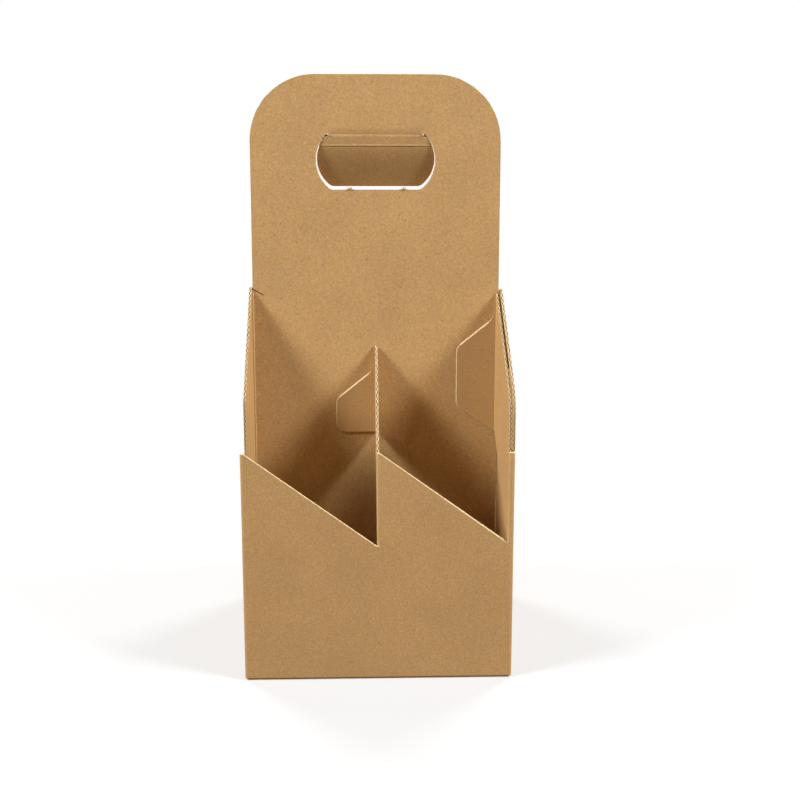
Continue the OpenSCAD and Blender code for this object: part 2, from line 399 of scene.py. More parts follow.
@dataclass(frozen=True)
class Bead:
    """An upright bead of pressed board, with tapered ends and a slightly uneven thickness."""

    foot_r: float
    top_r: float
    length: float
    sides: int
    step: float = 3.0 * MM
    # Rings on a tapered end, as shares of its length, and the share of the radius that its tip keeps
    end_rings: tuple[float, ...] = (0.15, 0.5, 1.0)
    tip: float = 0.3
    uneven: float = 0.12
    uneven_mm: float = 4.0

    def build(self) -> BMesh:
        """Builds the bead about the origin.

        Returns:
            Its mesh.
        """
        bm = bmesh.new()
        bmesh.ops.create_cone(bm, cap_ends=True, segments=self.sides, radius1=self.foot_r,
                              radius2=self.top_r, depth=self.length)
        reach = 2 * max(self.foot_r, self.top_r)
        half = self.length / 2
        count = round(self.length / self.step)
        heights = [self.length * (i / count - 0.5) for i in range(1, count)]
        heights += [end * (half - reach * share) for end in (-1, 1) for share in self.end_rings]
        for height in heights:
            bmesh.ops.bisect_plane(bm, geom=all_parts(bm), dist=NEAR, plane_co=(0, 0, height),
                                   plane_no=(0, 0, 1))
        for vert in bm.verts:
            inward = min(1.0, max(0.0, (half - abs(vert.co.z)) / reach))
            taper = self.tip + (1 - self.tip) * math.sqrt(1 - (1 - inward) ** 2)
            swell = noise.noise(Vector((0.5, 0.5, vert.co.z * per_metre(self.uneven_mm))))
            size = taper * (1 + self.uneven * swell)
            vert.co.x *= size
            vert.co.y *= size
        return bm


def add_piece(name: str, bm: BMesh, materials: list[Material]) -> Object:
    """Makes a linked object from a bmesh, which is freed.

    Args:
        name: Name of the piece.
        bm: Its mesh, in the frame of the CAD model.
        materials: Its material slots, in order.

    Returns:
        The new object, at the origin.
    """
    mesh = bpy.data.meshes.new(name)
    bm.to_mesh(mesh)
    bm.free()
    for material in materials:
        mesh.materials.append(material)
    piece = bpy.data.objects.new(name, mesh)
    bpy.context.scene.collection.objects.link(piece)
    return piece


def settle(piece: Object, body: str) -> None:
    """Lets a piece ride on a CAD body and reports it.

    Args:
        piece: The piece.
        body: Name of the body.
    """
    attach(piece, body)
    LOG.info("%s: %d faces", piece.name, len(piece.data.polygons))


@dataclass
class BoardPiece:
    """A CAD solid's sheet, dressed with liner, crushed rims and open channels between its liners."""

    node: str
    body: str
    finishes: Finishes
    rim_w: float = 0.28 * MM
    open_rim_w: float = 0.15 * MM
    lip_w: float = 0.03 * MM
    channel_depth: float = 0.5 * MM
    channel_lean: float = 0.01 * MM
    thickest: float = 5.0 * MM
    foot_z: float = 5.0 * MM
    widest_rung: float = 1.6 * MM
    narrowest_rung: float = 0.7 * MM
    shortest_band: float = 6.0 * MM
    # Edges flatter than this run along the flutes, so the cutting rule crushes them shut
    steepest_crush: float = 0.714
    # A sharper rule cut the walls and straps, and left the flutes of their slanted edges open
    steepest_wall: float = 0.85
    fold_axis_limit: float = 0.995
    # The hand hole's rule was dull, and crushed every edge there
    hole_low: float = 234.0 * MM
    hole_half: float = 32.0 * MM
    half_size: float = 65.0 * MM
    # Heights of level edges that are creases of the sheet, not cuts
    creases: tuple[float, ...] = ()
    crease_reach: float = 0.5 * MM
    # Faces above this height, apart from the ends, belong to a flap's rounded crease
    crease_top: float = math.inf
    crease_end: float = 0.5
    # Rims end below this height, short of that crease
    rim_top: float = math.inf
    smooth_angle: float = math.radians(40)
    # Neighbouring faces that turn by less than this are one face
    flat_angle: float = math.radians(0.3)
    bands: list[Band] = field(default_factory=list)

    def build(self, nodes: dict[str, Object]) -> None:
        """Builds the piece, which stands for the CAD node.

        Args:
            nodes: CAD objects by node name.
        """
        bm = bmesh.new()
        bm.from_mesh(nodes[self.node].data)
        bm.faces.layers.float.new("fold")
        bmesh.ops.remove_doubles(bm, verts=bm.verts, dist=NEAR)
        self.sort_faces(bm)
        bmesh.ops.dissolve_limit(bm, angle_limit=self.flat_angle, verts=bm.verts, edges=bm.edges,
                                 delimit={"MATERIAL"})
        bmesh.ops.bisect_plane(bm, geom=all_parts(bm), dist=NEAR / 10, plane_co=(0, 0, 0),
                               plane_no=(0, 1, 0))
        self.part_layers(bm)
        self.form(bm)
        self.crush_rims(bm)
        self.sink(bm, self.trace_bands(bm))
        bmesh.ops.remove_doubles(bm, verts=bm.verts, dist=NEAR / 10)
        mark_sharp(bm, self.smooth_angle)
        piece = add_piece(self.node + "_board", bm, [self.finishes.liner, self.finishes.cut,
                                                     self.finishes.rim, self.finishes.channel])
        shading = piece.modifiers.new("even_shading", "WEIGHTED_NORMAL")
        shading.keep_sharp = True
        settle(piece, self.body)
        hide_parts(self.node)

    def form(self, bm: BMesh) -> None:
        """Bends the sheet before its edges are dressed; a plain piece stays as it is."""

    def sort_faces(self, bm: BMesh) -> None:
        """Tells liner from cut edges, where the board runs deep behind a face, and marks the folds, which
        the liner paints paler: partly wear, partly painted highlight.

        Args:
            bm: The sheet.
        """
        tree = BVHTree.FromBMesh(bm)
        fold = bm.faces.layers.float["fold"]
        for face in bm.faces:
            start = face.calc_center_median() - face.normal * SLIGHT
            distance = tree.ray_cast(start, -face.normal)[3]
            is_crease = self.is_crease(face)
            is_cut = (distance is None or distance > self.thickest) and not is_crease
            bent = max(abs(c) for c in face.normal) < self.fold_axis_limit
            face.material_index = Layer.CUT if is_cut else Layer.LINER
            face[fold] = 1.0 if bent and not is_cut and not is_crease else 0.0

    def is_crease(self, face: BMFace) -> bool:
        """Whether a face belongs to a crease, where the sheet runs on and isn't cut.

        Args:
            face: Any face of the sheet.

        Returns:
            True for a level face at a crease's height, and for the rounded top of a flap.
        """
        height = face.calc_center_median().z
        if height > self.crease_top and abs(face.normal.x) < self.crease_end:
            return True
        is_level = abs(face.normal.z) > MOSTLY
        return is_level and any(abs(height - z) < self.crease_reach for z in self.creases)

    def part_layers(self, bm: BMesh) -> None:
        """Splits the edges between two glued layers, so that each layer has its own cut edge.

        Args:
            bm: The sheet.
        """
        seam = [
            edge for edge in bm.edges
            if len(edge.link_faces) == 2
            and all(f.material_index == Layer.CUT and abs(f.normal.y) < SQUARE for f in edge.link_faces)
            and all(abs(v.co.y) < NEAR for v in edge.verts)
        ]
        bmesh.ops.split_edges(bm, edges=seam)

    def crush_rims(self, bm: BMesh) -> None:
        """Bevels the liners along every cut edge, which bares a rim of pale fibre.

        Args:
            bm: The sheet.
        """
        for width, cut_open in ((self.rim_w, False), (self.open_rim_w, True)):
            outline = [
                edge for edge in bm.edges
                if len(edge.link_faces) == 2
                and {f.material_index for f in edge.link_faces} == {Layer.LINER, Layer.CUT}
                and any(self.is_open(f) for f in edge.link_faces) == cut_open
                and min(v.co.z for v in edge.verts) > self.foot_z
                and max(v.co.z for v in edge.verts) < self.rim_top
            ]
            made = bmesh.ops.bevel(bm, geom=outline, offset=width, offset_type="OFFSET", segments=1,
                                   profile=0.5, affect="EDGES", material=-1)
            for face in made["faces"]:
                face.material_index = Layer.RIM
        for vert in bm.verts:
            vert.co.x = max(-self.half_size, min(self.half_size, vert.co.x))
            vert.co.y = max(-self.half_size, min(self.half_size, vert.co.y))

    def is_open(self, face: BMFace) -> bool:
        """Whether a face is a cut edge that shows its flutes.

        Args:
            face: Any face of the sheet.

        Returns:
            True where the cut runs across the flutes and wasn't crushed shut.
        """
        place = face.calc_center_median()
        if place.z > self.hole_low and abs(place.x) < self.hole_half:
            return False
        steepest = self.steepest_wall if abs(face.normal.x) < SQUARE else self.steepest_crush
        return face.material_index == Layer.CUT and abs(face.normal.z) < steepest

    def rungs(self, face: BMFace) -> list[BMEdge]:
        """The two edges that cross the board at the ends of a cut face.

        Args:
            face: A cut face.

        Returns:
            Those edges, or fewer where the face isn't a plain strip.
        """
        found = [
            e for e in face.edges
            if len(e.link_faces) == 2 and all(f.material_index == Layer.CUT for f in e.link_faces)
        ]
        spare = [
            e for e in face.edges
            if e not in found and e.calc_length() < self.widest_rung
            and not any(v in r.verts for r in found for v in e.verts)
        ]
        spare.sort(key=lambda e: e.calc_length())
        return found + spare[:max(0, 2 - len(found))]

    def trace_bands(self, bm: BMesh) -> list[BMFace]:
        """Follows each open cut edge from face to face and keeps its centre line.

        Args:
            bm: The sheet.

        Returns:
            The faces of the edges that are long enough to show their flutes.
        """
        shown = [f for f in bm.faces if self.is_open(f) and f.calc_center_median().z > self.foot_z]
        by_face = {f: self.rungs(f) for f in shown if len(self.rungs(f)) == 2}
        channel: list[BMFace] = []
        seen: set[BMFace] = set()
        ends = [f for f, edges in by_face.items() if not all(self.across(f, e, by_face) for e in edges)]
        for first in ends + list(by_face):
            if first in seen:
                continue
            chain, faces = self.walk(first, by_face, seen)
            points = [(e.verts[0].co + e.verts[1].co) / 2 for e in chain]
            # Whichever way its faces were met, a band runs up its longest axis
            if max(points[-1] - points[0], key=abs) < 0:
                for row in (chain, faces, points):
                    row.reverse()
            # An end goes back to the centre line where its rung is short of the board's width
            for end, inner in ((0, 1), (-1, -2)):
                if chain[end].calc_length() > self.narrowest_rung:
                    continue
                side = max(faces[end].edges, key=lambda e: e.calc_length())
                along = (side.verts[1].co - side.verts[0].co).normalized()
                points[end] = points[inner] + along * (points[end] - points[inner]).dot(along)
            normals = [
                sum((f.normal for f in e.link_faces if f in by_face), Vector()).normalized() for e in chain
            ]
            band = Band(points, normals)
            if band.length() > self.shortest_band:
                self.bands.append(band)
                channel += faces
        return channel

    def across(self, face: BMFace, rung: BMEdge, by_face: dict) -> BMFace | None:
        """The next open cut face beyond a rung, if there is one."""
        beyond = (f for f in rung.link_faces if f is not face and f in by_face)
        return next((f for f in beyond if rung in by_face[f]), None)

    def walk(self, first: BMFace, by_face: dict, seen: set) -> tuple[list, list]:
        """Walks along one cut edge from a face.

        Args:
            first: Face to start from.
            by_face: The two rungs of each open cut face.
            seen: Faces that are already part of a band, which grows.

        Returns:
            The rungs in order, and the faces between them.
        """
        start, rung = by_face[first]
        if self.across(first, start, by_face):
            start, rung = rung, start
        chain = [start, rung]
        faces = [first]
        seen.add(first)
        face = self.across(first, rung, by_face)
        while face is not None and face not in seen:
            rung = next(e for e in by_face[face] if e is not rung)
            chain.append(rung)
            faces.append(face)
            seen.add(face)
            face = self.across(face, rung, by_face)
        return chain, faces

    def sink(self, bm: BMesh, faces: list[BMFace]) -> None:
        """Sinks a channel between the two liners along the open cut edges.

        Args:
            bm: The sheet.
            faces: Faces of those edges.
        """
        if not faces:
            return
        bmesh.ops.inset_region(bm, faces=faces, use_boundary=True, thickness=self.lip_w)
        walls = bmesh.ops.inset_region(bm, faces=faces, use_boundary=True, thickness=self.channel_lean,
                                       depth=-self.channel_depth)["faces"]
        # The channel's floor and walls are painted dark: painted shade of the hollow flutes
        for face in walls + faces:
            face.material_index = Layer.CHANNEL


def cut_across(bm: BMesh, faces: list[BMFace], place: Vector, normal: Vector) -> None:
    """Cuts faces along a plane, so that they can bend there.

    Args:
        bm: Mesh of the faces.
        faces: Faces to cut.
        place: A point of the plane.
        normal: The plane's normal.
    """
    edges = {e for f in faces for e in f.edges}
    verts = {v for f in faces for v in f.verts}
    bmesh.ops.bisect_plane(bm, geom=[*verts, *edges, *faces], dist=NEAR, plane_co=place, plane_no=normal)


@dataclass
class CarrierBoard(BoardPiece):
    """The folded sheet, pressed in above the hand hole where the creasing rule met it."""

    face_y: float = -1.2 * MM
    dent_low: float = 262.5 * MM
    dent_high: float = 266.3 * MM
    dent_half: float = 24.0 * MM
    dent_fade: float = 2.4 * MM
    dent_depth: float = 0.36 * MM
    dent_rows: int = 6
    # Cuts across each end of the dent, as shares of its fade
    dent_cuts: tuple[float, ...] = (0, 0.33, 0.67, 1)

    def form(self, bm: BMesh) -> None:
        """Presses the dent into the handle's front face.

        Args:
            bm: The sheet.
        """
        for side in (-1, 1):
            for share in self.dent_cuts:
                place = Vector((side * (self.dent_half - self.dent_fade * share), 0, 0))
                cut_across(bm, self.front_faces(bm), place, Vector((1, 0, 0)))
        for row in range(1, self.dent_rows + 1):
            height = self.dent_low + (self.dent_high - self.dent_low) * row / self.dent_rows
            faces = [f for f in self.front_faces(bm) if abs(f.calc_center_median().x) < self.dent_half]
            cut_across(bm, faces, Vector((0, 0, height)), Vector((0, 0, 1)))
        for vert in bm.verts:
            if abs(vert.co.y - self.face_y) < NEAR and vert.co.z > self.dent_low - SLIGHT:
                fall = max(0.0, (self.dent_high - vert.co.z) / (self.dent_high - self.dent_low))
                share = min(1.0, max(0.0, (self.dent_half - abs(vert.co.x)) / self.dent_fade))
                vert.co.y += self.dent_depth * fall * fall * share * share * (3 - 2 * share)

    def front_faces(self, bm: BMesh) -> list[BMFace]:
        """Faces of the handle's front that lie above the hand hole.

        Args:
            bm: The sheet.

        Returns:
            Those faces.
        """
        return [
            f for f in bm.faces
            if f.normal.y < -ALONG and abs(f.verts[0].co.y - self.face_y) < NEAR
            and max(v.co.z for v in f.verts) > self.dent_low + SLIGHT
        ]


@dataclass
class FlapBoard(BoardPiece):
    """A piece of the hand hole's flap, almost as wide as the hole, and bowed below its crease."""

    spread: float = 1.0
    shift: float = 0.0
    bow: float = 0.0
    # The bow's curve t (1 - t)^2 peaks at 4 / 27, which this brings to 1
    bow_gain: float = 6.75
    stretch: float = 1.0
    # Painted highlight: a paler band below the crease, fading downward over this reach
    painted_highlight_share: float = 0.9
    painted_highlight_reach: float = 3.2 * MM
    shoulder_z: float = 0.0
    shoulder_reach: float = 0.5 * MM
    shoulder_up: float = 0.35 * MM
    # The creasing rule flattens the bend: share of its bulge that is left, above a height
    bulge: float = 1.0
    bulge_low: float = 261.4 * MM
    bulge_y: float = -0.6 * MM
    crease: Vector = place_mm(0, 0.354, 256.692)
    turn: float = math.radians(20)
    length: float = 20.7 * MM
    cuts: tuple[float, ...] = (0.04, 0.09, 0.15, 0.22, 0.3, 0.4, 0.52, 0.68, 0.84)

    def form(self, bm: BMesh) -> None:
        """Widens the piece, flattens its bend, and bows it if it has a bow.

        Args:
            bm: The sheet.
        """
        bmesh.ops.scale(bm, vec=(self.spread, 1, 1), verts=bm.verts)
        bmesh.ops.translate(bm, vec=(self.shift, 0, 0), verts=bm.verts)
        level = [f for f in bm.faces if f.normal.z > MOSTLY]
        ends = [f for f in level if abs(f.calc_center_median().z - self.shoulder_z) < self.shoulder_reach]
        bmesh.ops.translate(bm, vec=(0, 0, self.shoulder_up), verts=list({v for f in ends for v in f.verts}))
        for vert in bm.verts:
            if vert.co.z > self.bulge_low and vert.co.y < self.bulge_y:
                vert.co.y = self.bulge_y + self.bulge * (vert.co.y - self.bulge_y)
        if not self.bow:
            return
        bmesh.ops.rotate(bm, verts=bm.verts, cent=self.crease, matrix=Matrix.Rotation(-self.turn, 3, "X"))
        for share in self.cuts:
            place = self.crease - Vector((0, 0, share * self.length))
            cut_across(bm, bm.faces[:], place, Vector((0, 0, 1)))
        # Paints the flap paler just below its crease, fading downward: painted highlight
        fold = bm.faces.layers.float["fold"]
        for face in bm.faces:
            below = self.crease.z - face.calc_center_median().z
            face[fold] = max(0.0, self.painted_highlight_share * (1 - below / self.painted_highlight_reach))
        for vert in bm.verts:
            t = max(0.0, (self.crease.z - vert.co.z) / self.length)
            vert.co.y -= self.bow * self.bow_gain * t * (1 - t) ** 2
            vert.co.z -= t * self.length * (self.stretch - 1)
        bmesh.ops.rotate(bm, verts=bm.verts, cent=self.crease, matrix=Matrix.Rotation(self.turn, 3, "X"))


@dataclass
class Flutes:
    """The wavy paper between the liners, where a cut edge shows it. The flutes lie level."""

    finishes: Finishes
    # Micro flutes stand about 1.8 mm apart, too fine to show, so they are drawn coarser
    pitch: float = 2.4 * MM
    swing: float = 0.26 * MM
    paper_t: float = 0.3 * MM
    depth: float = 0.46 * MM
    sunk: float = 0.03 * MM
    steps: int = 12
    # The rule drags the flutes about, over a few millimetres: shares of a wave and of its swing
    uneven_mm: float = 4.0
    uneven_pitch: float = 0.2
    uneven_swing: float = 0.3
    smooth_angle: float = math.radians(50)

    def build(self, name: str, body: str, bands: list[Band]) -> None:
        """Builds the waves along cut edges as one piece.

        Args:
            name: Name of the piece.
            body: CAD body that it rides on.
            bands: Centre lines of the cut edges.
        """
        whole = bmesh.new()
        for band in bands:
            self.add_wave(whole, band)
        mark_sharp(whole, self.smooth_angle)
        settle(add_piece(name, whole, [self.finishes.medium]), body)

    def stations(self, band: Band) -> list[tuple[Vector, Vector, Vector]]:
        """Places along a cut edge, close enough together for its waves.

        Args:
            band: Centre line of the edge.

        Returns:
            Point, outward normal and direction across the board, for each place.
        """
        places = []
        ends = list(zip(band.points, band.normals))
        for (a, out_a), (b, out_b) in zip(ends, ends[1:]):
            if (b - a).length < NEAR:
                continue
            across = (b - a).normalized().cross((out_a + out_b).normalized()).normalized()
            count = max(1, math.ceil(abs(b.z - a.z) / (self.pitch / self.steps)))
            for k in range(count):
                share = k / count
                places.append((a.lerp(b, share), out_a.lerp(out_b, share).normalized(), across))
            last = (b.copy(), out_b.copy(), across)
        return places + [last] if places else []

    def add_wave(self, whole: BMesh, band: Band) -> None:
        """Adds the wave along one cut edge.

        Args:
            whole: Mesh that gets it.
            band: Centre line of the edge.
        """
        places = self.stations(band)
        part = bmesh.new()
        sides = 4
        grid = bmesh.ops.create_grid(part, x_segments=len(places) - 1, y_segments=sides, size=1.0)["verts"]
        grid.sort(key=lambda v: (round(v.co.x, 6), v.co.y))
        for i, (point, normal, across) in enumerate(places):
            uneven = noise.noise(point * per_metre(self.uneven_mm))
            phase = 2 * math.pi * (point.z / self.pitch + self.uneven_pitch * uneven)
            wave = self.swing * (1 + self.uneven_swing * uneven) * math.sin(phase)
            left = point + across * (wave - self.paper_t / 2) - normal * self.sunk
            right = left + across * self.paper_t
            ring = [left - normal * self.depth, left, right, right - normal * self.depth]
            for k in range(sides + 1):
                grid[(sides + 1) * i + k].co = ring[k % sides]
        bmesh.ops.remove_doubles(part, verts=part.verts, dist=NEAR)
        bmesh.ops.holes_fill(part, edges=part.edges, sides=sides)
        bmesh.ops.recalc_face_normals(part, faces=part.faces)
        mesh = bpy.data.meshes.new("wave")
        part.to_mesh(mesh)
        part.free()
        whole.from_mesh(mesh)
        bpy.data.meshes.remove(mesh)


@dataclass(frozen=True)
class Crease:
    """A crease of the hand hole's flap, whose raised line closes the sheet along it."""

    name: str
    body: str
    radius: float
    half: float
    # How far the bead stands in front of the crease's axis
    out: float
    # Distance below the upper crease along the sheet as cut, and the sheet's turn about that crease
    drop: float
    turn: float
    # Share of the paler colour on the bead: partly bared fibre, partly painted highlight
    wear_and_highlight: float


# The lower crease's bead is painted paler, partly as wear and partly as painted highlight; the upper one
# keeps the plain liner colour
CREASES = (
    Crease("upper_crease_bead", "carrier", radius=0.4 * MM, half=23.7 * MM, out=-0.05 * MM, drop=0.0,
           turn=0.0, wear_and_highlight=0.0),
    Crease("lower_crease_bead", "strip", radius=0.5 * MM, half=28.4 * MM, out=0.28 * MM, drop=5.0 * MM,
           turn=math.radians(11), wear_and_highlight=1.0),
)


@dataclass
class HandHole:
    """Small forms around the hand hole: pressed creases, torn fibre, and dark blocks in the nicks that are
    painted shade.
    """

    finishes: Finishes
    creases: tuple[Crease, ...] = CREASES
    crease_z: float = 261.6 * MM
    crease_y: float = -0.6 * MM
    bead_up: float = 0.5 * MM
    bead_sides: int = 10
    hole_floor: float = 235.5 * MM
    hole_top: float = 262.4 * MM
    tie_places: tuple[float, ...] = (-13.2 * MM, 14.2 * MM)
    # The ties tore out of the front liner, so their fibres stand in front of the flap's path
    tie_y: float = -1.45 * MM
    face_y: float = -1.29 * MM
    tie_r: float = 0.72 * MM
    tie_up: float = 0.4 * MM
    nick_x: float = 23.9 * MM
    nick_r: float = 0.38 * MM
    # Shape of a tuft, how much and how finely it is torn, and the noise's step to the next
    tuft_shape: tuple[float, float, float] = (1.6, 0.55, 1.0)
    torn: float = 0.55
    torn_mm: float = 0.3
    torn_step: float = 7.0
    corner_low: Vector = place_mm(24.0, -0.9, 261.3)
    corner_high: Vector = place_mm(26.4, -0.3, 262.6)
    corner_r: float = 0.2 * MM
    corner_rough: float = 0.06 * MM
    corner_rough_mm: float = 0.6

    def build(self) -> None:
        """Builds all the pieces."""
        for crease in self.creases:
            self.add_crease(crease)
        self.add_tufts()
        self.add_corners()

    def add_crease(self, crease: Crease) -> None:
        """Adds the raised line of a crease.

        Args:
            crease: The crease.
        """
        bm = Bead(crease.radius, crease.radius, 2 * crease.half, self.bead_sides).build()
        bmesh.ops.rotate(bm, verts=bm.verts, cent=(0, 0, 0), matrix=Matrix.Rotation(math.pi / 2, 3, "Y"))
        height = self.crease_z - crease.drop + self.bead_up
        bmesh.ops.translate(bm, verts=bm.verts, vec=(0, self.crease_y - crease.out, height))
        bmesh.ops.rotate(bm, verts=bm.verts, cent=(0, self.crease_y, self.crease_z),
                         matrix=Matrix.Rotation(crease.turn, 3, "X"))
        fold = bm.faces.layers.float.new("fold")
        for face in bm.faces:
            face[fold] = crease.wear_and_highlight
            face.smooth = True
        settle(add_piece(crease.name, bm, [self.finishes.liner]), crease.body)

    def add_tufts(self) -> None:
        """Adds torn tufts of fibre where the flap was tied to the sheet, and at its upper crease's ends."""
        tie_z = self.hole_floor + self.tie_up
        tufts = [(self.tie_r, Vector((x, self.tie_y, tie_z))) for x in self.tie_places]
        tufts += [(self.nick_r, Vector((side * self.nick_x, self.tie_y, self.hole_top))) for side in (-1, 1)]
        whole = bmesh.new()
        for number, (radius, spot) in enumerate(tufts):
            verts = bmesh.ops.create_icosphere(whole, subdivisions=3, radius=radius)["verts"]
            for vert in verts:
                place = vert.co * per_metre(self.torn_mm) + Vector((self.torn_step * number, 0, 0))
                vert.co *= 1 + self.torn * noise.noise(place)
            bmesh.ops.scale(whole, vec=self.tuft_shape, verts=verts)
            bmesh.ops.translate(whole, vec=spot, verts=verts)
            for vert in verts:
                if vert.co.z > self.hole_floor:
                    vert.co.y = min(vert.co.y, self.face_y)
        settle(add_piece("torn_ties", whole, [self.finishes.rim]), "carrier")

    def add_corners(self) -> None:
        """Adds dark blocks that fill the nicks at both ends of the upper crease: painted shade."""
        whole = bmesh.new()
        middle = (self.corner_low + self.corner_high) / 2
        for side in (-1, 1):
            verts = bmesh.ops.create_cube(whole, size=1.0)["verts"]
            bmesh.ops.scale(whole, vec=self.corner_high - self.corner_low, verts=verts)
            bmesh.ops.translate(whole, vec=(side * middle.x, middle.y, middle.z), verts=verts)
        bmesh.ops.bevel(whole, geom=whole.edges[:], offset=self.corner_r, offset_type="OFFSET", segments=2,
                        profile=0.5, affect="EDGES", material=-1)
        bmesh.ops.subdivide_edges(whole, edges=whole.edges[:], cuts=1, use_grid_fill=True)
        roughen(whole.verts[:], self.corner_rough, self.corner_rough_mm)
        settle(add_piece("crease_nicks_painted_shade", whole, [self.finishes.channel]), "carrier")


@dataclass
class LeftFold:
    """The left wall's fold into the handle: its pressed beads, painted paler as wear and painted highlight,
    and a dark plate in its relief slit that is painted shade.
    """

    finishes: Finishes
    corner: Vector = place_mm(-63.5, -1.5, 0)
    bead_r: float = 0.8 * MM
    bead_foot_r: float = 0.35 * MM
    bead_low: float = 4.0 * MM
    bead_high: float = 183.5 * MM
    bead_sides: int = 12
    # Paler colour on the beads: partly wear, partly painted highlight
    bead_wear_and_highlight: float = 0.4
    slit_at: Vector = place_mm(-63.5, 0, 185)
    slit_angle: float = math.radians(29)
    slit_from: float = -1.4 * MM
    slit_to: float = 6.6 * MM
    slit_w: float = 0.6 * MM
    fill_t: float = 0.8 * MM
    fill_cuts: int = 5
    fill_rough: float = 0.1 * MM
    fill_rough_mm: float = 0.8

    def build(self) -> None:
        """Builds both pieces."""
        self.add_beads()
        self.add_slit_fill()

    def add_beads(self) -> None:
        """Adds the beads that a pressed score raises inside the fold, on both sides of the handle."""
        length = self.bead_high - self.bead_low
        bm = Bead(self.bead_foot_r, self.bead_r, length, self.bead_sides).build()
        bmesh.ops.translate(bm, verts=bm.verts, vec=self.corner + Vector((0, 0, self.bead_low + length / 2)))
        bmesh.ops.mirror(bm, geom=all_parts(bm), merge_dist=-1, axis="Y")
        bmesh.ops.recalc_face_normals(bm, faces=bm.faces)
        fold = bm.faces.layers.float.new("fold")
        for face in bm.faces:
            face[fold] = self.bead_wear_and_highlight
            # The caps, which have more corners, stay flat
            face.smooth = len(face.verts) == 4
        settle(add_piece("left_fold_beads", bm, [self.finishes.liner]), "carrier")

    def add_slit_fill(self) -> None:
        """Adds a dark plate inside the slit: painted shade."""
        bm = bmesh.new()
        bmesh.ops.create_cube(bm, size=1.0)
        bmesh.ops.scale(bm, verts=bm.verts, vec=(self.slit_to - self.slit_from, self.fill_t, self.slit_w))
        bmesh.ops.subdivide_edges(bm, edges=bm.edges[:], cuts=self.fill_cuts, use_grid_fill=True)
        roughen(bm.verts[:], self.fill_rough, self.fill_rough_mm)
        bmesh.ops.translate(bm, verts=bm.verts, vec=((self.slit_from + self.slit_to) / 2, 0, 0))
        bmesh.ops.rotate(bm, verts=bm.verts, cent=(0, 0, 0), matrix=Matrix.Rotation(self.slit_angle, 3, "Y"))
        bmesh.ops.translate(bm, verts=bm.verts, vec=self.slit_at)
        settle(add_piece("slit_painted_shade", bm, [self.finishes.channel]), "carrier")


@dataclass
class GlueLine:
    """The line of glue that closes the joint between the right wall and its straps, near the corners."""

    finishes: Finishes
    inner_x: float = 63.2 * MM
    outer_x: float = 63.8 * MM
    side_y: float = -63.35 * MM
    low_z: float = 114.0 * MM
    arc_z: float = 127.5 * MM
    arc_r: float = 20.0 * MM
    arc_turn: float = math.radians(52.8)
    arc_steps: int = 8
    tip: Vector = place_mm(0, -46, 150.3)
    tip_low: Vector = place_mm(0, -46, 140)
    foot: Vector = place_mm(0, -58, 114)

    def build(self) -> None:
        """Builds the glue of both straps as one piece."""
        points = self.outline()
        bm = bmesh.new()
        ring = bmesh.ops.create_circle(bm, cap_ends=True, segments=len(points), radius=1.0)["verts"]
        for vert, point in zip(ring, points):
            vert.co = point + Vector((self.inner_x, 0, 0))
        grown = bmesh.ops.extrude_face_region(bm, geom=bm.faces[:])["geom"]
        bmesh.ops.translate(bm, verts=[v for v in grown if isinstance(v, BMVert)],
                            vec=(self.outer_x - self.inner_x, 0, 0))
        bmesh.ops.mirror(bm, geom=all_parts(bm), merge_dist=-1, axis="Y")
        bmesh.ops.recalc_face_normals(bm, faces=bm.faces)
        settle(add_piece("glue_line", bm, [self.finishes.cut]), "carrier")

    def outline(self) -> list[Vector]:
        """Outline of the glue in the plane of the wall, just inside the strap's edge.

        Returns:
            Its corners in order.
        """
        centre = Vector((0, self.side_y + self.arc_r, self.arc_z))
        turns = [self.arc_turn * i / self.arc_steps for i in range(self.arc_steps + 1)]
        arc = [centre + Vector((0, -math.cos(t), math.sin(t))) * self.arc_r for t in turns]
        return [Vector((0, self.side_y, self.low_z)), *arc, self.tip, self.tip_low, self.foot]


